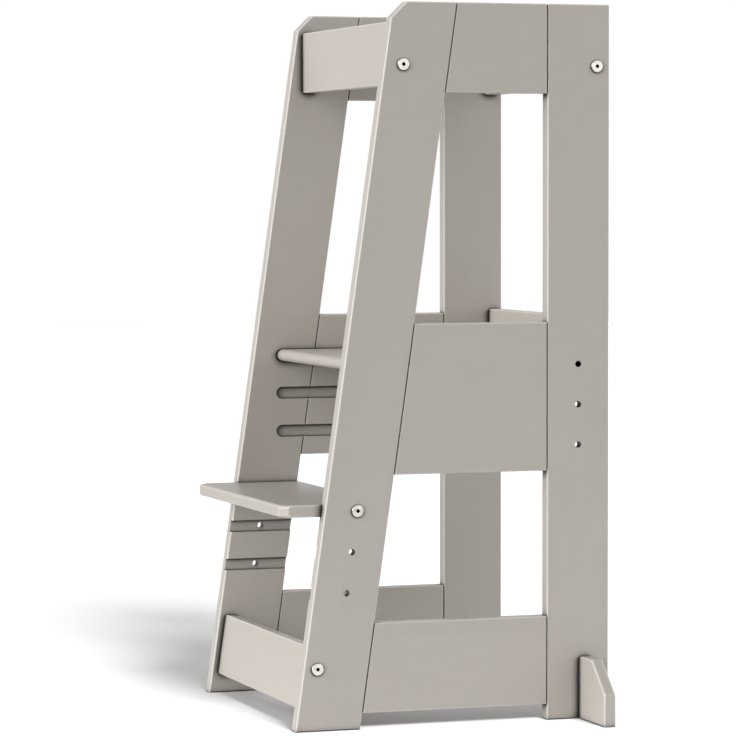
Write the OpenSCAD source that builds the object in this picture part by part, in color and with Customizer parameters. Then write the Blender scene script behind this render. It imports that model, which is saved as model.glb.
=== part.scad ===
/* [Sides] */
// Height of the legs
total_h = 885; // [840:5:960]
// Depth of a side at the floor, from the front foot to the rear edge
side_d = 409; // [393:1:443]
// Clear width between the two sides
inner_w = 355; // [320:1:416]
// Thickness of the boards of a side
side_t = 18; // [16:0.5:20]
// Thickness of the other boards
board_t = 15; // [14:0.5:18]
// Rounding of the board edges
edge_r = 2; // [1:0.25:3]
// Cut across each corner of a board's outline
corner_ease = 1; // [0.6:0.1:2]
// Width of a leg
leg_w = 82; // [76:1:90]
// Lean of the front leg, in degrees
lean = 8.1; // [6:0.1:8.5]
// Corner cut off the top of the front leg
corner_cut = 20; // [8:1:30]
// Height of the top board of a side
top_board_h = 110; // [90:1:140]
// Height of the middle panel of a side
panel_h = 184; // [178:1:220]
// Height of the bottom board of a side
bottom_board_h = 110; // [90:1:120]
// Bottom of the middle panel above the floor
panel_z = 310; // [300:1:316]
// Bottom of the bottom board above the floor
bottom_board_z = 20; // [10:1:35]

/* [Platform] */
// Middle of the top platform groove above the floor
groove_z = 441.5; // [438:0.5:446]
// Distance between two heights of the platform or the step
height_pitch = 50; // [40:1:54]
// Number of heights
heights = 3; // [1:1:3]
// Depth of the grooves and dadoes
groove_depth = 5; // [4:0.25:6]
// Front end of the grooves behind the front foot
groove_start = 93; // [82:1:102]
// Spare height in a platform groove
groove_play = 0.8; // [0.5:0.1:1.2]
// Height of the platform above the groove floor, where it slides
seat_gap = 0.15; // [0.1:0.05:0.2]
// Gap at each end of the platform and of the kick board
end_gap = 0.5; // [0.3:0.1:1.5]
// Rise of the kick board above the platform
kick_rise = 50; // [30:1:70]
// Rear face of the kick board in front of the rear edge of the sides
kick_inset = 3.5; // [1:0.5:8]

/* [Step] */
// Middle of the top step dado above the floor
dado_z = 267.5; // [260:0.5:280]
// Depth of the step
step_d = 137; // [125:1:150]
// Reach of the step in front of the leg
step_reach = 52; // [40:1:63]
// Corner cut off each front corner of the step
step_corner = 10; // [5:0.5:20]
// Rounding of the front edges of the step
step_edge_r = 4; // [2:0.25:6]
// Gap above and below the step in its dado
dado_gap = 0.15; // [0.05:0.05:0.3]

/* [Rails] */
// Height of the rails and the kick board
rail_h = 78; // [72:1:90]
// Top of the upper rails below the top of the legs
rail_drop = 23; // [20:1:40]
// Thickness of the rails
rail_t = 18; // [15:0.5:18]
// Front face of the upper front rail behind the leg edge, at the middle of the rail
top_rail_inset = 12.5; // [8:0.5:18]
// Face of the other rails in from the leg edge
rail_inset = 8; // [5:0.5:13]
// Middle of the lower front rail above the floor
low_rail_z = 62.5; // [55:0.5:75]

/* [Feet] */
// Reach of a foot beside the leg
foot_reach = 83; // [70:1:110]
// Height of a foot at the leg
foot_h = 78; // [74:1:90]
// Height of the tip of a foot
foot_tip_h = 40; // [30:1:55]
// Width of a foot at its top
foot_top_w = 41; // [36:1:60]
// Rear face of a foot in front of the rear edge of the leg
foot_inset = 24.5; // [15:0.5:35]

/* [Fasteners] */
// Diameter of the connector bolts
bolt_d = 6; // [5:0.5:6.5]
// Length of the connector bolts under the head
bolt_len = 50; // [49:1:60]
// Diameter of the bolt head
head_d = 15; // [12:0.5:17]
// Thickness of the bolt head
head_t = 2.3; // [1.8:0.1:3]
// Width across the flats of the bolt socket
socket_w = 4; // [3:0.5:4]
// Depth of the bolt socket
socket_depth = 3; // [2:0.1:4]
// Diameter of the holes that the bolts pass through
bolt_hole_d = 8; // [6.75:0.25:8.5]
// Diameter of the barrel nuts
nut_d = 10; // [9:0.5:11]
// Length of the barrel nuts
nut_len = 12; // [11:0.5:13]
// Outside of the leg to the axis of the barrel nut
nut_reach = 44; // [40:1:44]
// Distance of bolts and dowels from the edge of a rail, the step side or a foot
fix_inset = 25; // [20:0.5:27]
// Diameter of the wooden dowels
dowel_d = 8; // [6:0.5:8]
// Length of the dowels inside the sides
side_dowel_len = 40; // [30:1:50]
// Length of the dowels of rails and feet
rail_dowel_len = 35; // [25:1:40]
// Part of a rail dowel that sits in the leg
rail_dowel_hold = 10; // [8:0.5:11]
// Radial gap round dowels, bolt threads and nuts
fit_gap = 0.05; // [0.02:0.01:0.1]
// Number of screws through the kick board
screws = 3; // [2:1:5]
// Distance of the outer kick board screws from the inner faces of the sides
screw_inset = 49.5; // [42:0.5:100]
// Diameter of the kick board screws
screw_d = 5; // [4:0.5:5.5]
// Diameter of the heads of the kick board screws
screw_head_d = 9; // [8:0.5:10]
// Length of the kick board screws
screw_len = 50; // [40:1:60]

/* [Hidden] */
$fn = 48;

lacquer = [0.68, 0.65, 0.61];
beech = [0.83, 0.68, 0.48];
zinc = [0.78, 0.79, 0.80];
over = 1;                       // how far a cutter runs past the face that it opens
hair = 0.01;                    // a rounding is this much fuller, so it is tangent to no face
dowel_relief = 1;               // room for glue behind the end of a dowel
dowel_bevel = 0.8;              // bevel on the ends of a dowel
head_edge_r = 0.8;              // rounding of the bolt head
slot_w = 1.5;                   // slot in the open end of a barrel nut
slot_depth = 1.2;
cross_w = 1;                    // cross recess of a screw
cross_depth = 2;
cross_share = 0.55;             // span of the cross recess over the head diameter
screw_tip = 5;                  // length of the point of a screw
screw_sink = 0.2;               // head of a screw below the face of the kick board

// Depths are measured from the middle of the whole object, the front is on the minus side
half_w = inner_w / 2;
outer_x = half_w + side_t;
slope = tan(lean);
rear_y = (side_d - dado_z * slope + step_reach) / 2;
foot_y = rear_y - side_d;
rear_seam_y = rear_y - leg_w;
rear_mid_y = rear_y - leg_w / 2;
leg_run = leg_w / cos(lean);
function front_y(z) = foot_y + z * slope;
function seam_y(z) = front_y(z) + leg_run;
function leg_mid_y(z) = front_y(z) + leg_run / 2;

// Heights of the grooves and dadoes, from the top one down
groove_h = board_t + groove_play;
dado_h = board_t + 2 * dado_gap;
groove_zs = [for (i = [0:heights - 1]) groove_z - i * height_pitch];
dado_zs = [for (i = [0:heights - 1]) dado_z - i * height_pitch];
groove_tip_y = foot_y + groove_start;

// Heights of the dowels in a side, between the grooves where there are any
top_board_z = total_h - top_board_h;
function pair_zs(z, h) = [z + fix_inset, z + h - fix_inset];
panel_top_z = panel_z + panel_h;
land_zs = [for (i = [0:1]) groove_z - (i + 0.5) * height_pitch];
panel_dowel_zs = concat(land_zs, [(groove_z + groove_h / 2 + panel_top_z) / 2]);
side_dowel_zs = concat(pair_zs(top_board_z, top_board_h), panel_dowel_zs,
    pair_zs(bottom_board_z, bottom_board_h));

// Rails: middle in y, middle in z, lean, side of the bolt on the height, way the inner face looks
upper_rail_z = total_h - rail_drop - rail_h / 2;
front_top = [front_y(upper_rail_z) + top_rail_inset + rail_t / 2, upper_rail_z, 0, -1, 1];
front_bottom = [front_y(low_rail_z) + (rail_inset + rail_t / 2) / cos(lean), low_rail_z, lean, 1, 1];
rear_top = [rear_y - rail_inset - rail_t / 2, upper_rail_z, 0, -1, -1];
rails = [front_top, front_bottom, rear_top];
fix_off = rail_h / 2 - fix_inset;

// Platform and kick board
platform_z = groove_z - groove_play / 2 + seat_gap;
platform_w = inner_w + 2 * (groove_depth - end_gap);
platform_front_y = groove_tip_y + (groove_play - seat_gap);
kick_rear_y = rear_y - kick_inset;
platform_rear_y = kick_rear_y - board_t;
kick_top_z = platform_z + board_t / 2 + kick_rise;
screw_xs = [for (i = [0:screws - 1]) (2 * i / (screws - 1) - 1) * (half_w - screw_inset)];

// Step and feet
step_w = inner_w + 2 * (groove_depth - end_gap);
step_front_y = front_y(dado_z) - step_reach;
foot_mid_y = rear_y - foot_inset - board_t / 2;
foot_bolt_z = foot_h - fix_inset;
foot_dowel_z = foot_bolt_z - 2 * fix_off;

// Waste of one rounded edge, square outside and a quarter circle inside
module edge_waste(r) {
    difference() {
        translate([-over, -over]) square(r + over);
        translate([r, r]) circle(r + hair);
    }
}

// Waste along the first edge of a board, on its lower and its upper face
module edge_cut(a, b, r, thick) {
    translate([a.x, a.y, 0]) rotate(atan2(b.y - a.y, b.x - a.x))
        translate([-r, 0, 0]) rotate([90, 0, 90]) linear_extrude(norm(b - a) + 2 * r) {
            edge_waste(r);
            translate([0, thick]) mirror([0, 1]) edge_waste(r);
        }
}

function on_way(a, b, d) = a + (b - a) * d / norm(b - a);

// Outline with its corners eased
function eased(outline) = let (n = len(outline)) [for (i = [0:n - 1]) each
    [for (other = [(i + n - 1) % n, (i + 1) % n]) on_way(outline[i], outline[other], corner_ease)]];

// Board lying flat, its outline run anticlockwise: the edges are rounded one after the other,
// each on both faces by its own radius
module rounded_board(outline, radii, thick = board_t, edge = 0) {
    n = len(outline);
    if (edge == n)
        linear_extrude(thick) polygon(eased(outline));
    else
        difference() {
            rounded_board(outline, radii, thick, edge + 1);
            edge_cut(outline[edge], outline[(edge + 1) % n], radii[edge], thick);
        }
}

function same_r(outline) = [for (p = outline) edge_r];
function box_outline(x0, y0, x1, y1) = [[x0, y0], [x1, y0], [x1, y1], [x0, y1]];

// Board outline in depth and height, stood up on the inner face of the right side
module on_side() {
    translate([half_w, 0, 0]) rotate([90, 0, 90]) children();
}

module side_piece(outline) {
    on_side() rounded_board(outline, same_r(outline), side_t);
}

module mirrored(side) {
    mirror([side < 0 ? 1 : 0, 0, 0]) children();
}

module both_sides() {
    for (side = [-1, 1]) mirrored(side) children();
}

// Rod along x from x0 to x1
module rod_x(d, x0, x1) {
    translate([x0, 0, 0]) rotate([0, 90, 0]) cylinder(d = d, h = x1 - x0);
}

module dowel(len) {
    for (end = [-1, 1])
        rotate([0, 90 * end, 0]) {
            cylinder(d = dowel_d, h = len / 2 - dowel_bevel);
            translate([0, 0, len / 2 - dowel_bevel])
                cylinder(d1 = dowel_d, d2 = dowel_d - 2 * dowel_bevel, h = dowel_bevel);
        }
}

// Places of the dowels in the right side, across the slanted seam and the rear seam
module side_dowel_places() {
    x = half_w + side_t / 2;
    for (z = side_dowel_zs) {
        translate([x, seam_y(z), z]) rotate([-lean, 0, 0]) rotate([0, 0, 90]) children();
        translate([x, rear_seam_y, z]) rotate([0, 0, 90]) children();
    }
}

module side_dowel_holes() {
    side_dowel_places()
        rod_x(dowel_d + 2 * fit_gap, -side_dowel_len / 2 - dowel_relief, side_dowel_len / 2 + dowel_relief);
}

// Grooves of the platform, with a round front end and an open rear end
module grooves() {
    for (z = groove_zs)
        translate([half_w - over, 0, 0]) rotate([90, 0, 90]) linear_extrude(groove_depth + over) {
            translate([groove_tip_y + groove_h / 2, z]) circle(d = groove_h);
            translate([groove_tip_y + groove_h / 2, z - groove_h / 2])
                square([rear_y - groove_tip_y, groove_h]);
        }
}

// Dadoes of the step, open at the front and the back of the leg
module dadoes() {
    for (z = dado_zs)
        translate([half_w - over, front_y(z) - leg_w, z - dado_h / 2])
            cube([groove_depth + over, 3 * leg_w, dado_h]);
}

// Bolt hole through the right side
module leg_hole(y, z) {
    translate([0, y, z]) rod_x(bolt_hole_d, half_w - over, outer_x + over);
}

// Frame of a rail: origin at its middle, x along it
module at_rail(rail) {
    translate([0, rail[0], rail[1]]) rotate([-rail[2], 0, 0]) children();
}

module at_rail_bolt(rail) {
    at_rail(rail) translate([outer_x, 0, rail[3] * fix_off]) children();
}

module at_rail_dowel(rail) {
    at_rail(rail) translate([half_w, 0, -rail[3] * fix_off]) children();
}

module rail_leg_holes(rail) {
    at_rail_bolt(rail) rod_x(bolt_hole_d, -side_t - over, over);
    at_rail_dowel(rail) rod_x(dowel_d + 2 * fit_gap, -over, rail_dowel_hold + dowel_relief);
}

// Connector bolt: origin under the head on the axis, shank along minus x
module bolt() {
    rotate([0, 90, 0]) difference() {
        union() {
            rotate_extrude() {
                square([head_d / 2 - head_edge_r, head_t]);
                square([head_d / 2, head_t - head_edge_r]);
                translate([head_d / 2 - head_edge_r, head_t - head_edge_r]) circle(head_edge_r);
            }
            translate([0, 0, -bolt_len]) cylinder(d = bolt_d, h = bolt_len);
        }
        translate([0, 0, head_t - socket_depth])
            cylinder(d = socket_w / cos(30), h = socket_depth + over, $fn = 6);
    }
}

// Barrel nut round the bolt, its slotted end towards plus z
module barrel_nut() {
    translate([-nut_reach, 0, 0]) difference() {
        cylinder(d = nut_d, h = nut_len, center = true);
        rod_x(bolt_d + 2 * fit_gap, -nut_d, nut_d);
        translate([-slot_w / 2, -nut_d, nut_len / 2 - slot_depth]) cube([slot_w, 2 * nut_d, slot_depth + over]);
    }
}

// Holes that a board needs for the bolt and its barrel nut, the nut's mouth towards plus z
module bolt_and_nut_holes(board_start) {
    rod_x(bolt_hole_d, -bolt_len - dowel_relief, -board_start + over);
    translate([-nut_reach, 0, -nut_len / 2]) cylinder(d = nut_d + 2 * fit_gap, h = nut_len + board_t);
}

// The nut of a rail opens on the inner face of the rail
module turn_to_inner(rail) {
    rotate([-90 * rail[4], 0, 0]) children();
}

module rail(rail) {
    outline = box_outline(-half_w, -rail_h / 2, half_w, rail_h / 2);
    difference() {
        at_rail(rail) translate([0, rail_t / 2, 0]) rotate([90, 0, 0])
            rounded_board(outline, same_r(outline), rail_t);
        both_sides() {
            at_rail_bolt(rail) turn_to_inner(rail) bolt_and_nut_holes(side_t);
            at_rail_dowel(rail)
                rod_x(dowel_d + 2 * fit_gap, rail_dowel_hold - rail_dowel_len - dowel_relief, over);
        }
    }
}

module front_leg() {
    cut_z = total_h - corner_cut;
    outline = [[front_y(0), 0], [seam_y(0), 0], [seam_y(total_h), total_h],
        [front_y(cut_z) + corner_cut, total_h], [front_y(cut_z), cut_z]];
    difference() {
        side_piece(outline);
        grooves();
        dadoes();
        side_dowel_holes();
        for (z = dado_zs) leg_hole(leg_mid_y(z), z);
        rail_leg_holes(front_top);
        rail_leg_holes(front_bottom);
    }
}

module rear_leg() {
    outline = box_outline(rear_seam_y, 0, rear_y, total_h);
    difference() {
        side_piece(outline);
        grooves();
        side_dowel_holes();
        for (z = groove_zs) leg_hole(rear_mid_y, z);
        rail_leg_holes(rear_top);
        leg_hole(foot_mid_y, foot_bolt_z);
        at_foot_dowel() rod_x(dowel_d + 2 * fit_gap, -rail_dowel_hold - dowel_relief, over);
    }
}

// Board between the two legs of a side
module side_board(z, h) {
    outline = [[seam_y(z), z], [rear_seam_y, z], [rear_seam_y, z + h], [seam_y(z + h), z + h]];
    difference() {
        side_piece(outline);
        side_dowel_holes();
    }
}

module middle_panel() {
    difference() {
        side_board(panel_z, panel_h);
        grooves();
    }
}

// The foot's bolt comes from inside the leg, so its frame is turned round
module at_foot_bolt() {
    translate([half_w, foot_mid_y, foot_bolt_z]) rotate([0, 0, 180]) children();
}

module at_foot_dowel() {
    translate([outer_x, foot_mid_y, foot_dowel_z]) children();
}

// The nut of a foot opens on its rear face
module turn_to_rear() {
    rotate([90, 0, 0]) children();
}

module foot() {
    outline = [[0, 0], [foot_reach, 0], [foot_reach, foot_tip_h], [foot_top_w, foot_h], [0, foot_h]];
    difference() {
        translate([outer_x, foot_mid_y + board_t / 2, 0]) rotate([90, 0, 0])
            rounded_board(outline, same_r(outline));
        at_foot_bolt() turn_to_rear() bolt_and_nut_holes(side_t);
        at_foot_dowel() rod_x(dowel_d + 2 * fit_gap, -over, rail_dowel_len - rail_dowel_hold + dowel_relief);
    }
}

// The bolts of the step sit in the top dado, their nuts open under the step
module at_step_bolt() {
    translate([outer_x, leg_mid_y(dado_z), dado_z]) children();
}

// The locking bolts of the platform would pass the rear leg, their nuts open under the platform
module at_platform_nut() {
    translate([outer_x, rear_mid_y, platform_z]) children();
}

module turn_down() {
    rotate([180, 0, 0]) children();
}

module screw() {
    rotate([90, 0, 0]) difference() {
        rotate_extrude() polygon([[0, 0], [screw_head_d / 2, 0], [screw_d / 2, -screw_head_d / 2 + screw_d / 2],
            [screw_d / 2, -screw_len + screw_tip], [0, -screw_len]]);
        for (turn = [0, 90])
            rotate(turn) translate([-screw_head_d * cross_share / 2, -cross_w / 2, -cross_depth])
                cube([screw_head_d * cross_share, cross_w, cross_depth + over]);
    }
}

// Room for a screw, with its countersink and the gap all round
module screw_hole() {
    sink = (screw_head_d - screw_d) / 2;
    d = screw_d + 2 * fit_gap;
    rotate([90, 0, 0]) {
        translate([0, 0, -screw_len - dowel_relief]) cylinder(d = d, h = screw_len + over);
        translate([0, 0, -sink]) cylinder(d1 = d, d2 = d + 2 * sink, h = sink);
        translate([0, 0, -fit_gap]) cylinder(d = screw_head_d + 2 * fit_gap, h = over);
    }
}

module at_screws() {
    for (x = screw_xs) translate([x, kick_rear_y - screw_sink, platform_z]) mirror([0, 1, 0]) children();
}

module left_front_leg() { color(lacquer) mirrored(-1) front_leg(); }
module right_front_leg() { color(lacquer) front_leg(); }
module left_rear_leg() { color(lacquer) mirrored(-1) rear_leg(); }
module right_rear_leg() { color(lacquer) rear_leg(); }
module left_top_board() { color(lacquer) mirrored(-1) side_board(top_board_z, top_board_h); }
module right_top_board() { color(lacquer) side_board(top_board_z, top_board_h); }
module left_middle_panel() { color(lacquer) mirrored(-1) middle_panel(); }
module right_middle_panel() { color(lacquer) middle_panel(); }
module left_bottom_board() { color(lacquer) mirrored(-1) side_board(bottom_board_z, bottom_board_h); }
module right_bottom_board() { color(lacquer) side_board(bottom_board_z, bottom_board_h); }
module left_side_dowels() { color(beech) mirrored(-1) side_dowel_places() dowel(side_dowel_len); }
module right_side_dowels() { color(beech) side_dowel_places() dowel(side_dowel_len); }
module front_top_rail() { color(lacquer) rail(front_top); }
module front_bottom_rail() { color(lacquer) rail(front_bottom); }
module rear_top_rail() { color(lacquer) rail(rear_top); }

module rail_dowels() {
    color(beech) both_sides() for (r = rails)
        at_rail_dowel(r) translate([rail_dowel_hold - rail_dowel_len / 2, 0, 0]) dowel(rail_dowel_len);
}

module rail_bolts() {
    color(zinc) both_sides() for (r = rails) at_rail_bolt(r) bolt();
}

module rail_barrel_nuts() {
    color(zinc) both_sides() for (r = rails) at_rail_bolt(r) turn_to_inner(r) barrel_nut();
}

module step() {
    x = step_w / 2;
    y1 = step_front_y + step_d;
    outline = [[-x + step_corner, step_front_y], [x - step_corner, step_front_y],
        [x, step_front_y + step_corner], [x, y1], [-x, y1], [-x, step_front_y + step_corner]];
    radii = [step_edge_r, step_edge_r, edge_r, edge_r, edge_r, step_edge_r];
    color(lacquer) difference() {
        translate([0, 0, dado_z - board_t / 2]) rounded_board(outline, radii);
        both_sides() at_step_bolt() turn_down() bolt_and_nut_holes(side_t - groove_depth);
    }
}

module step_bolts() { color(zinc) both_sides() at_step_bolt() bolt(); }
module step_barrel_nuts() { color(zinc) both_sides() at_step_bolt() turn_down() barrel_nut(); }
module left_foot() { color(lacquer) mirrored(-1) foot(); }
module right_foot() { color(lacquer) foot(); }

module foot_dowels() {
    color(beech) both_sides() at_foot_dowel()
        translate([rail_dowel_len / 2 - rail_dowel_hold, 0, 0]) dowel(rail_dowel_len);
}

module foot_bolts() { color(zinc) both_sides() at_foot_bolt() bolt(); }
module foot_barrel_nuts() { color(zinc) both_sides() at_foot_bolt() turn_to_rear() barrel_nut(); }

// Tread with a full round nose, which rests in the top grooves
module platform() {
    d = platform_rear_y - platform_front_y;
    color(lacquer) difference() {
        translate([-platform_w / 2, platform_front_y, platform_z - board_t / 2])
            rotate([90, 0, 90]) linear_extrude(platform_w) {
                translate([board_t / 2, board_t / 2]) circle(d = board_t);
                translate([board_t / 2, 0]) square([d - board_t / 2, board_t]);
            }
        both_sides() at_platform_nut() turn_down() bolt_and_nut_holes(side_t - groove_depth);
        at_screws() screw_hole();
    }
}

module platform_barrel_nuts() { color(zinc) both_sides() at_platform_nut() turn_down() barrel_nut(); }

module kick_board() {
    x = half_w - end_gap;
    outline = box_outline(-x, kick_top_z - rail_h, x, kick_top_z);
    color(lacquer) difference() {
        translate([0, kick_rear_y, 0]) rotate([90, 0, 0]) rounded_board(outline, same_r(outline));
        at_screws() screw_hole();
    }
}

module kick_board_screws() { color(zinc) at_screws() screw(); }

left_front_leg();
right_front_leg();
left_rear_leg();
right_rear_leg();
left_top_board();
right_top_board();
left_middle_panel();
right_middle_panel();
left_bottom_board();
right_bottom_board();
left_side_dowels();
right_side_dowels();
front_top_rail();
front_bottom_rail();
rear_top_rail();
rail_dowels();
rail_bolts();
rail_barrel_nuts();
step();
step_bolts();
step_barrel_nuts();
left_foot();
right_foot();
foot_dowels();
foot_bolts();
foot_barrel_nuts();
platform();
platform_barrel_nuts();
kick_board();
kick_board_screws();
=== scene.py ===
import math
import bpy
from mathutils import Matrix, Vector

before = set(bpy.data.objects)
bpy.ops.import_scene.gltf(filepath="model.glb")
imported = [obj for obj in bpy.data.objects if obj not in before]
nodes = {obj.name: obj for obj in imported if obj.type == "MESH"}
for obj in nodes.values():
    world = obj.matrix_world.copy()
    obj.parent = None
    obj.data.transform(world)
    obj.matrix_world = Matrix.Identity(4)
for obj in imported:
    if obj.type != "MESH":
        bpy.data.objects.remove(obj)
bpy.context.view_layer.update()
mm = 0.001
firstColour, secondColour, mixedColour = 6, 7, 2        # sockets of a mix node that is set to colours
firstValue, secondValue, mixedValue = 2, 3, 0           # the same for one that is set to plain values
print("frame loaded with", len(nodes), "nodes")


def toLinear(hexColour):        # sRGB hex to the linear colour that the sockets take
    parts = [int(hexColour[i:i + 2], 16) / 255 for i in (1, 3, 5)]
    return [c / 12.92 if c <= 0.04045 else ((c + 0.055) / 1.055) ** 2.4 for c in parts] + [1]


def addNode(tree, kind, inputs=None, **settings):
    node = tree.nodes.new(kind)
    for key, value in settings.items():
        setattr(node, key, value)
    for key, value in (inputs or {}).items():
        if isinstance(value, bpy.types.NodeSocket):
            tree.links.new(value, node.inputs[key])
        else:
            node.inputs[key].default_value = value
    return node


def newMaterial(name):
    material = bpy.data.materials.new(name)
    material.use_nodes = True
    return material, material.node_tree, material.node_tree.nodes["Principled BSDF"]


# Camera of the photograph, in the frame of the stool
view = {
    "place": (4.2972, -1.4990, 0.6489),         # metres
    "azimuth": 71.221,          # degrees, 0 looks along +Y
    "tilt": 2.748,              # degrees below the horizon
    "roll": -0.065,
    "lens": 174.9,              # mm, on a sensor 36 mm wide
    "sensor": 36,
}


def makeCamera():
    azimuth, tilt, roll = (math.radians(view[key]) for key in ("azimuth", "tilt", "roll"))
    look = Vector((-math.sin(azimuth) * math.cos(tilt),
                   math.cos(azimuth) * math.cos(tilt),
                   -math.sin(tilt)))
    level = Vector((math.cos(azimuth), math.sin(azimuth), 0))
    right = level * math.cos(roll) + level.cross(look) * math.sin(roll)
    turn = Matrix((right, right.cross(look), -look)).transposed()
    data = bpy.data.cameras.new("photoCamera")
    data.sensor_width = view["sensor"]
    data.lens = view["lens"]
    camera = bpy.data.objects.new("photoCamera", data)
    camera.matrix_world = Matrix.Translation(view["place"]) @ turn.to_4x4()
    bpy.context.scene.collection.objects.link(camera)
    bpy.context.scene.camera = camera


makeCamera()
print("camera placed")

# Satin furniture lacquer, applied by spray on sanded beech staves. The eye sees an even warm grey with a
# wide soft gloss that grows at a low angle. A painted highlight makes the rounded edges paler, and
# painted shade darkens the seams, grooves and bores. Only a raking light shows the grain lines, the stave
# joints and the peel.
lacquer = {
    "colour": "#b1aba4",
    "deepColour": "#aca69f",    # over a grain line, where the film is thin
    "deepSpan": (0.1, 0.42),    # value of the pattern where the colour is all deep, and where it is plain
    "roughness": (0.30, 0.38),
    "roughSpan": (0.3, 0.7),    # the tone at which each of the two is reached
    "ior": 1.5,
    "staveWide": 42 * mm,
    "boardShift": 0.37,         # metres along the pattern from board to board, so that no two match
    "shiftParts": (1, 3, 7),    # each axis gets the shift divided by its number
    "grainLong": 60 * mm,
    "grainWide": 1.3 * mm,      # real pores are 0.1 mm, drawn coarser so that they show
    "grainDeep": 0.012 * mm,
    "grainDetail": 3,
    "grainBreak": 0.6,          # how much of the fine lines breaks up the wide ones
    "toneWide": 160 * mm,       # slow drift of the sprayed tone
    "toneDetail": 2,
    "peelWide": 1.8 * mm,
    "peelDeep": 0.006 * mm,
    "peelDetail": 1,
    "rays": 6,                  # sent out at each point to find edges and hollows
    "edgeHighlightColour": "#ece8e2",    # painted highlight: paler colour on the roundings, where light catches the edges
    "edgeReach": 3 * mm,
    "edgeSpan": (0.6, 0.95),    # how solid the wood is inside, from a thin edge to a thick board
    "squareSpan": (0.96, 0.985),        # largest part of the normal, from a rounding to a flat face
    "hollowShadeColour": "#16130f",  # painted shade: dark colour mixed into seams, inner corners, bores and grooves, where shade falls
    "shadeRise": 0.7,          # light comes from above as well, so the painted shade leaves the lower edge of a hollow clean
    "hollows": (                # how far it reaches, then how open it is at full shade and at none
        (4 * mm, 0.73, 0.97),   # seams and inner corners
        (12 * mm, 0.6, 0.94),   # bores and grooves
    ),
}
lean = math.radians(8.1)
acrossX, acrossY, acrossZ = Vector((1, 0, 0)), Vector((0, 1, 0)), Vector((0, 0, 1))
leanUp = Vector((0, math.sin(lean), math.cos(lean)))
leanBack = Vector((0, math.cos(lean), -math.sin(lean)))
# Boards by the way their grain runs: nodes, along the grain, across the staves
boards = [
    (("left_front_leg", "right_front_leg"), leanUp, leanBack),
    (("left_rear_leg", "right_rear_leg"), acrossZ, acrossY),
    (("left_top_board", "right_top_board", "left_middle_panel", "right_middle_panel",
      "left_bottom_board", "right_bottom_board"), acrossY, acrossZ),
    (("front_top_rail", "front_bottom_rail", "rear_top_rail", "kick_board", "left_foot", "right_foot"),
     acrossX, acrossZ),
    (("platform", "step"), acrossX, acrossY),
]


def grainPlace(tree, along, across, shifts):    # x runs along the grain, y across the staves
    place = addNode(tree, "ShaderNodeTexCoord")
    turn = Matrix((along, across, along.cross(across))).to_euler()
    return addNode(tree, "ShaderNodeMapping", {
        "Vector": place.outputs["Object"], "Rotation": turn, "Location": shifts})


# Painted highlight: mixes a paler colour into the rounded edges, where light catches them
def paintedEdgeHighlight(tree, facing, colour):
    thin, thick = lacquer["edgeSpan"]
    rounded, squared = lacquer["squareSpan"]
    inside = addNode(tree, "ShaderNodeAmbientOcclusion", {"Distance": lacquer["edgeReach"]},
                     samples=lacquer["rays"], inside=True)
    solid = addNode(tree, "ShaderNodeMapRange", {
        "Value": inside.outputs["AO"], "From Min": thin, "From Max": thick})
    # The flat faces stay as they are, also where a blind bore ends close under them
    size = addNode(tree, "ShaderNodeVectorMath", {0: facing.outputs["True Normal"]}, operation="ABSOLUTE")
    sides = addNode(tree, "ShaderNodeSeparateXYZ", {0: size.outputs[0]})
    larger = addNode(tree, "ShaderNodeMath", {0: sides.outputs["X"], 1: sides.outputs["Y"]},
                     operation="MAXIMUM")
    largest = addNode(tree, "ShaderNodeMath", {0: larger.outputs[0], 1: sides.outputs["Z"]},
                      operation="MAXIMUM")
    flat = addNode(tree, "ShaderNodeMapRange", {
        "Value": largest.outputs[0], "From Min": rounded, "From Max": squared})
    kept = addNode(tree, "ShaderNodeMath", {0: solid.outputs[0], 1: flat.outputs[0]}, operation="MAXIMUM")
    return addNode(tree, "ShaderNodeMix", {
        "Factor": kept.outputs[0], firstColour: toLinear(lacquer["edgeHighlightColour"]),
        secondColour: colour.outputs[mixedColour]}, data_type="RGBA")


# Painted shade: mixes a dark colour into seams, inner corners, bores and grooves, where less light
# reaches
def paintedHollowShade(tree, facing, colour):
    lifted = addNode(tree, "ShaderNodeVectorMath", {
        0: facing.outputs["Normal"], 1: (0, 0, lacquer["shadeRise"])}, operation="ADD")
    above = addNode(tree, "ShaderNodeVectorMath", {0: lifted.outputs[0]}, operation="NORMALIZE")
    for reach, closed, wide in lacquer["hollows"]:
        ahead = addNode(tree, "ShaderNodeAmbientOcclusion", {"Distance": reach}, samples=lacquer["rays"])
        overhead = addNode(tree, "ShaderNodeAmbientOcclusion", {
            "Distance": reach, "Normal": above.outputs[0]}, samples=lacquer["rays"])
        openness = addNode(tree, "ShaderNodeMath", {0: ahead.outputs["AO"], 1: overhead.outputs["AO"]},
                           operation="MAXIMUM")
        unshaded = addNode(tree, "ShaderNodeMapRange", {
            "Value": openness.outputs[0], "From Min": closed, "From Max": wide})
        colour = addNode(tree, "ShaderNodeMix", {
            "Factor": unshaded.outputs[0], firstColour: toLinear(lacquer["hollowShadeColour"]),
            secondColour: colour.outputs[mixedColour]}, data_type="RGBA")
    return colour


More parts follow.
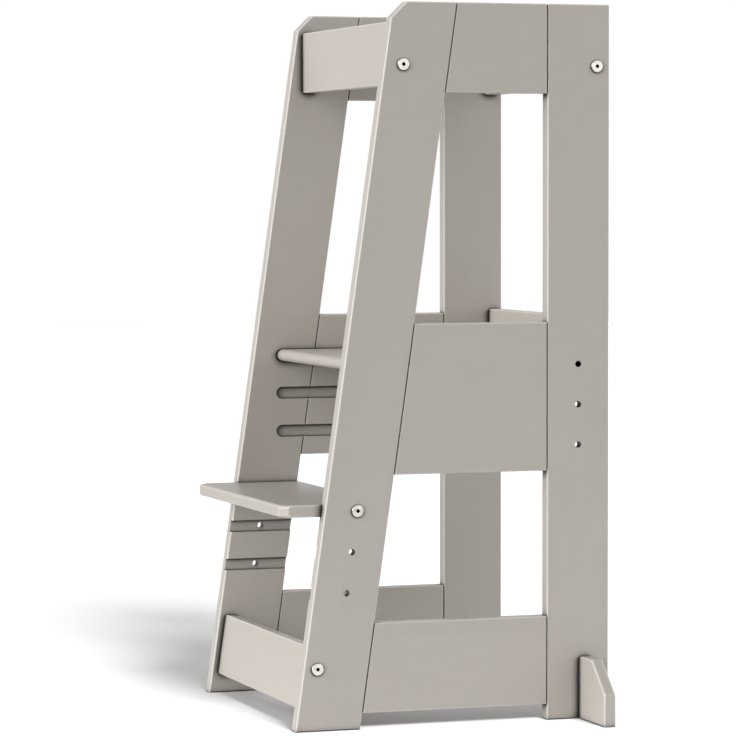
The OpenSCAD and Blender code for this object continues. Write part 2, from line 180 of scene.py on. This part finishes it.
def lacqueredBeech(name, along, across, shifts):
    material, tree, surface = newMaterial(name)
    onBoard = grainPlace(tree, along, across, shifts)
    split = addNode(tree, "ShaderNodeSeparateXYZ", {0: onBoard.outputs[0]})
    stave = addNode(tree, "ShaderNodeMath", {0: split.outputs["Y"], 1: lacquer["staveWide"]},
                    operation="DIVIDE")
    staveNumber = addNode(tree, "ShaderNodeMath", {0: stave.outputs[0]}, operation="FLOOR")
    staveChance = addNode(tree, "ShaderNodeTexWhiteNoise", {"W": staveNumber.outputs[0]},
                          noise_dimensions="1D")
    ownGrain = addNode(tree, "ShaderNodeVectorMath", {
        0: onBoard.outputs[0], 1: staveChance.outputs["Color"]}, operation="ADD")
    grainSize = addNode(tree, "ShaderNodeMapping", {
        "Vector": ownGrain.outputs[0],
        "Scale": (1 / lacquer["grainLong"], 1 / lacquer["grainWide"], 1 / lacquer["grainWide"])})
    grain = addNode(tree, "ShaderNodeTexNoise", {
        "Vector": grainSize.outputs[0], "Scale": 1,
        "Detail": lacquer["grainDetail"], "Roughness": lacquer["grainBreak"]})
    tone = addNode(tree, "ShaderNodeTexNoise", {
        "Vector": ownGrain.outputs[0], "Scale": 1 / lacquer["toneWide"], "Detail": lacquer["toneDetail"]})
    peel = addNode(tree, "ShaderNodeTexNoise", {
        "Vector": onBoard.outputs[0], "Scale": 1 / lacquer["peelWide"], "Detail": lacquer["peelDetail"]})

    # Colour: a little deeper along the grain, with a slow drift from place to place
    deepest, plain = lacquer["deepSpan"]
    blend = addNode(tree, "ShaderNodeMath", {0: grain.outputs["Fac"], 1: tone.outputs["Fac"]},
                    operation="MULTIPLY")
    shade = addNode(tree, "ShaderNodeMapRange", {
        "Value": blend.outputs[0], "From Min": deepest, "From Max": plain})
    colour = addNode(tree, "ShaderNodeMix", {
        "Factor": shade.outputs[0], firstColour: toLinear(lacquer["deepColour"]),
        secondColour: toLinear(lacquer["colour"])}, data_type="RGBA")
    facing = addNode(tree, "ShaderNodeNewGeometry")
    # Painted highlight on the rounded edges, then painted shade in the hollows
    colour = paintedHollowShade(tree, facing, paintedEdgeHighlight(tree, facing, colour))

    # Gloss follows the tone of the spray
    glossyTone, dullTone = lacquer["roughSpan"]
    glossy, dull = lacquer["roughness"]
    gloss = addNode(tree, "ShaderNodeMapRange", {
        "Value": tone.outputs["Fac"], "From Min": glossyTone, "From Max": dullTone,
        "To Min": glossy, "To Max": dull})

    # The relief that telegraphs through the film: grain lines, and the orange peel of the spray
    lines = addNode(tree, "ShaderNodeBump", {
        "Height": grain.outputs["Fac"], "Distance": lacquer["grainDeep"]})
    film = addNode(tree, "ShaderNodeBump", {
        "Height": peel.outputs["Fac"], "Distance": lacquer["peelDeep"], "Normal": lines.outputs[0]})
    surface.inputs["IOR"].default_value = lacquer["ior"]
    tree.links.new(colour.outputs[mixedColour], surface.inputs["Base Color"])
    tree.links.new(gloss.outputs[0], surface.inputs["Roughness"])
    tree.links.new(film.outputs[0], surface.inputs["Normal"])
    return material


def paintBoards():
    shift = 0
    for names, along, across in boards:
        for name in names:
            shift += lacquer["boardShift"]
            shifts = [shift / part for part in lacquer["shiftParts"]]
            material = lacqueredBeech("lacquered_" + name, along, across, shifts)
            nodes[name].material_slots[0].material = material


paintBoards()
print("boards lacquered")

# Turned fluted dowels of raw beech: pinkish tan, matt, with short dark flecks along the dowel
dowels = {
    "colour": "#d8b48c",
    "fleckColour": "#a97c54",
    "roughness": 0.62,
    "fleckLong": 3 * mm,
    "fleckWide": 0.5 * mm,
    "fleckDeep": 0.03 * mm,
    "fleckDetail": 2,
    "fleckSpan": (0.5, 0.68),   # how strong the pattern is where a fleck starts and where it is full
    "along": {                  # the way each set lies
        "left_side_dowels": acrossY,
        "right_side_dowels": acrossY,
        "rail_dowels": acrossX,
        "foot_dowels": acrossX,
    },
}


def rawBeech(name, along):
    material, tree, surface = newMaterial(name)
    onDowel = grainPlace(tree, along, acrossZ, (0, 0, 0))
    fleckSize = addNode(tree, "ShaderNodeMapping", {
        "Vector": onDowel.outputs[0],
        "Scale": (1 / dowels["fleckLong"], 1 / dowels["fleckWide"], 1 / dowels["fleckWide"])})
    fleck = addNode(tree, "ShaderNodeTexNoise", {
        "Vector": fleckSize.outputs[0], "Scale": 1, "Detail": dowels["fleckDetail"]})
    start, full = dowels["fleckSpan"]
    share = addNode(tree, "ShaderNodeMapRange", {
        "Value": fleck.outputs["Fac"], "From Min": start, "From Max": full})
    colour = addNode(tree, "ShaderNodeMix", {
        "Factor": share.outputs[0], firstColour: toLinear(dowels["colour"]),
        secondColour: toLinear(dowels["fleckColour"])}, data_type="RGBA")
    relief = addNode(tree, "ShaderNodeBump", {
        "Height": fleck.outputs["Fac"], "Distance": dowels["fleckDeep"]})
    surface.inputs["Roughness"].default_value = dowels["roughness"]
    tree.links.new(colour.outputs[mixedColour], surface.inputs["Base Color"])
    tree.links.new(relief.outputs[0], surface.inputs["Normal"])
    return material


for name, along in dowels["along"].items():
    nodes[name].material_slots[0].material = rawBeech("raw_beech_" + name, along)
print("dowels grained")

# Connector bolts of turned steel, barrel plated with bright nickel. The flat head is almost white, with
# fine turning rings, and the broached socket is painted dark as shade.
bolts = {
    "colour": "#e4e1da",
    "socketShadeColour": "#1c1b1a",
    "roughness": 0.24,
    "groupReach": 16.5 * mm,    # all vertices of one bolt lie closer to its first one than this
    "socketReach": 2.35 * mm,   # just past the corners of the hexagon
    "ringPitch": 0.5 * mm,      # real tool marks are 0.1 mm apart, drawn coarser so that they show
    "ringDeep": 0.01 * mm,
}


def boltAxes(name):             # depth and height of each bolt's axis, from the mesh
    groups = []
    for vertex in nodes[name].data.vertices:
        here = Vector(vertex.co.yz)
        near = [group for group in groups if (group[0] - here).length < bolts["groupReach"]]
        if near:
            near[0].append(here)
        else:
            groups.append([here])
    return [[(min(p[i] for p in group) + max(p[i] for p in group)) / 2 for i in (0, 1)]
            for group in groups]


def nickelPlated(name):
    material, tree, surface = newMaterial("nickel_" + name)
    place = addNode(tree, "ShaderNodeTexCoord")
    flat = addNode(tree, "ShaderNodeVectorMath", {0: place.outputs["Object"], 1: (0, 1, 1)},
                   operation="MULTIPLY")
    radius = None               # how far a point is from the nearest axis
    for depth, height in boltAxes(name):
        away = addNode(tree, "ShaderNodeVectorMath", {0: flat.outputs[0], 1: (0, depth, height)},
                       operation="DISTANCE").outputs["Value"]
        radius = away if radius is None else addNode(tree, "ShaderNodeMath", {0: radius, 1: away},
                                                     operation="MINIMUM").outputs[0]
    turns = addNode(tree, "ShaderNodeMath", {0: radius, 1: math.tau / bolts["ringPitch"]},
                    operation="MULTIPLY")
    ring = addNode(tree, "ShaderNodeMath", {0: turns.outputs[0]}, operation="SINE")
    rings = addNode(tree, "ShaderNodeBump", {"Height": ring.outputs[0], "Distance": bolts["ringDeep"]})
    # Painted shade: the socket is coloured dark
    socket = addNode(tree, "ShaderNodeMath", {0: radius, 1: bolts["socketReach"]}, operation="LESS_THAN")
    colour = addNode(tree, "ShaderNodeMix", {
        "Factor": socket.outputs[0], firstColour: toLinear(bolts["colour"]),
        secondColour: toLinear(bolts["socketShadeColour"])}, data_type="RGBA")
    surface.inputs["Metallic"].default_value = 1
    surface.inputs["Roughness"].default_value = bolts["roughness"]
    tree.links.new(colour.outputs[mixedColour], surface.inputs["Base Color"])
    tree.links.new(rings.outputs[0], surface.inputs["Normal"])
    return material


for name in ("rail_bolts", "step_bolts", "foot_bolts"):
    nodes[name].material_slots[0].material = nickelPlated(name)
print("bolts plated")

# Barrel nuts and screws of steel, zinc plated and passivated: bluish grey and cloudy, duller than nickel
zinc = {
    "colour": "#b9bec2",
    "cloudColour": "#a3a9ae",
    "roughness": (0.32, 0.5),
    "cloudWide": 2.5 * mm,
    "cloudDetail": 4,
    "pitDeep": 0.01 * mm,
}


def zincPlated():
    material, tree, surface = newMaterial("zinc_plated_steel_cloudy")
    place = addNode(tree, "ShaderNodeTexCoord")
    cloud = addNode(tree, "ShaderNodeTexNoise", {
        "Vector": place.outputs["Object"], "Scale": 1 / zinc["cloudWide"], "Detail": zinc["cloudDetail"]})
    colour = addNode(tree, "ShaderNodeMix", {
        "Factor": cloud.outputs["Fac"], firstColour: toLinear(zinc["colour"]),
        secondColour: toLinear(zinc["cloudColour"])}, data_type="RGBA")
    glossy, dull = zinc["roughness"]
    gloss = addNode(tree, "ShaderNodeMapRange", {
        "Value": cloud.outputs["Fac"], "To Min": glossy, "To Max": dull})
    pits = addNode(tree, "ShaderNodeBump", {"Height": cloud.outputs["Fac"], "Distance": zinc["pitDeep"]})
    surface.inputs["Metallic"].default_value = 1
    tree.links.new(colour.outputs[mixedColour], surface.inputs["Base Color"])
    tree.links.new(gloss.outputs[0], surface.inputs["Roughness"])
    tree.links.new(pits.outputs[0], surface.inputs["Normal"])
    return material


zincMaterial = zincPlated()
for name in ("rail_barrel_nuts", "step_barrel_nuts", "foot_barrel_nuts", "platform_barrel_nuts",
             "kick_board_screws"):
    nodes[name].material_slots[0].material = zincMaterial
print("nuts and screws plated")

# Studio: soft round glows in the room, the strongest one low in front of the step, a wide one behind, one
# high on the right and a weak one on the left. A light for the floor alone whitens it from the right, so
# the shadow of the stool falls softly to the left.
studio = {
    "glows": {                  # direction in degrees from +X and above the floor, how narrow, strength
        "front": (-78, 18, 8, 7.2),
        "right": (0, 42, 16, 1.0),
        "sheen": (19, 2, 40, 1.8),      # what the flat bolt heads show to the lens
        "rear": (90, 0, 2, 2.2),
        "left": (180, 0, 2, 0.67),
    },
    "floorReach": 14,           # metres
    "floorSides": 96,
    "floorColour": "#bfbfbf",   # as the lens sees it
    "poolColour": "#a2a2a2",    # as the stool sees it: a bright pool of light round its feet
    "poolReach": 0.8,           # metres
    "dimColour": "#6f6f6f",     # and the dim floor beyond
    "dimReach": 1.6,            # metres
    "floorRoughness": 0.8,
    "floorLight": (4, 38),      # direction in degrees, as above
    "floorLightAngle": 20,
    "floorLightStrength": 7.0,
}


def towards(azimuth, height):
    turn, up = math.radians(azimuth), math.radians(height)
    return Vector((math.cos(turn) * math.cos(up), math.sin(turn) * math.cos(up), math.sin(up)))


def makeGlows():                # each is brightest in its middle
    room = bpy.data.worlds.new("softGlows")
    room.use_nodes = True
    tree = room.node_tree
    sight = addNode(tree, "ShaderNodeTexCoord")
    total = None
    for azimuth, height, narrow, strength in studio["glows"].values():
        facing = addNode(tree, "ShaderNodeVectorMath", {
            0: sight.outputs["Generated"], 1: towards(azimuth, height)}, operation="DOT_PRODUCT")
        ahead = addNode(tree, "ShaderNodeMath", {0: facing.outputs["Value"], 1: 0}, operation="MAXIMUM")
        fall = addNode(tree, "ShaderNodeMath", {0: ahead.outputs[0], 1: narrow}, operation="POWER")
        glow = addNode(tree, "ShaderNodeMath", {0: fall.outputs[0], 1: strength}, operation="MULTIPLY")
        total = glow if total is None else addNode(tree, "ShaderNodeMath", {
            0: total.outputs[0], 1: glow.outputs[0]}, operation="ADD")
    path = addNode(tree, "ShaderNodeLightPath")         # the backdrop behind the stool is plain white
    seen = addNode(tree, "ShaderNodeMix", {
        "Factor": path.outputs["Is Camera Ray"], firstValue: total.outputs[0], secondValue: 1},
        data_type="FLOAT")
    tree.links.new(seen.outputs[mixedValue], tree.nodes["Background"].inputs["Color"])
    bpy.context.scene.world = room


def makeFloor():
    side = math.tau / studio["floorSides"]
    ring = [(studio["floorReach"] * math.cos(side * i), studio["floorReach"] * math.sin(side * i), 0)
            for i in range(studio["floorSides"])]
    mesh = bpy.data.meshes.new("floor")
    mesh.from_pydata(ring, [], [list(range(studio["floorSides"]))])
    floor = bpy.data.objects.new("floor", mesh)
    bpy.context.scene.collection.objects.link(floor)
    material, tree, surface = newMaterial("matt_pale_floor")
    place = addNode(tree, "ShaderNodeTexCoord")
    away = addNode(tree, "ShaderNodeVectorMath", {0: place.outputs["Object"]}, operation="LENGTH")
    fade = addNode(tree, "ShaderNodeMapRange", {
        "Value": away.outputs["Value"], "From Min": studio["poolReach"], "From Max": studio["dimReach"]})
    pool = addNode(tree, "ShaderNodeMix", {
        "Factor": fade.outputs[0], firstColour: toLinear(studio["poolColour"]),
        secondColour: toLinear(studio["dimColour"])}, data_type="RGBA")
    path = addNode(tree, "ShaderNodeLightPath")
    paint = addNode(tree, "ShaderNodeMix", {
        "Factor": path.outputs["Is Camera Ray"], firstColour: pool.outputs[mixedColour],
        secondColour: toLinear(studio["floorColour"])}, data_type="RGBA")
    surface.inputs["Roughness"].default_value = studio["floorRoughness"]
    tree.links.new(paint.outputs[mixedColour], surface.inputs["Base Color"])
    floor.data.materials.append(material)
    return floor


def makeFloorLight(floor):
    data = bpy.data.lights.new("floorLight", "SUN")
    data.energy = studio["floorLightStrength"]
    data.angle = math.radians(studio["floorLightAngle"])
    light = bpy.data.objects.new("floorLight", data)
    light.rotation_euler = towards(*studio["floorLight"]).to_track_quat("Z", "Y").to_euler()
    bpy.context.scene.collection.objects.link(light)
    lit = bpy.data.collections.new("litFloor")
    lit.objects.link(floor)
    light.light_linking.receiver_collection = lit


def makeStudio():
    makeGlows()
    floor = makeFloor()
    makeFloorLight(floor)
    bpy.context.scene.view_settings.view_transform = "Standard"


makeStudio()
print("studio lit")
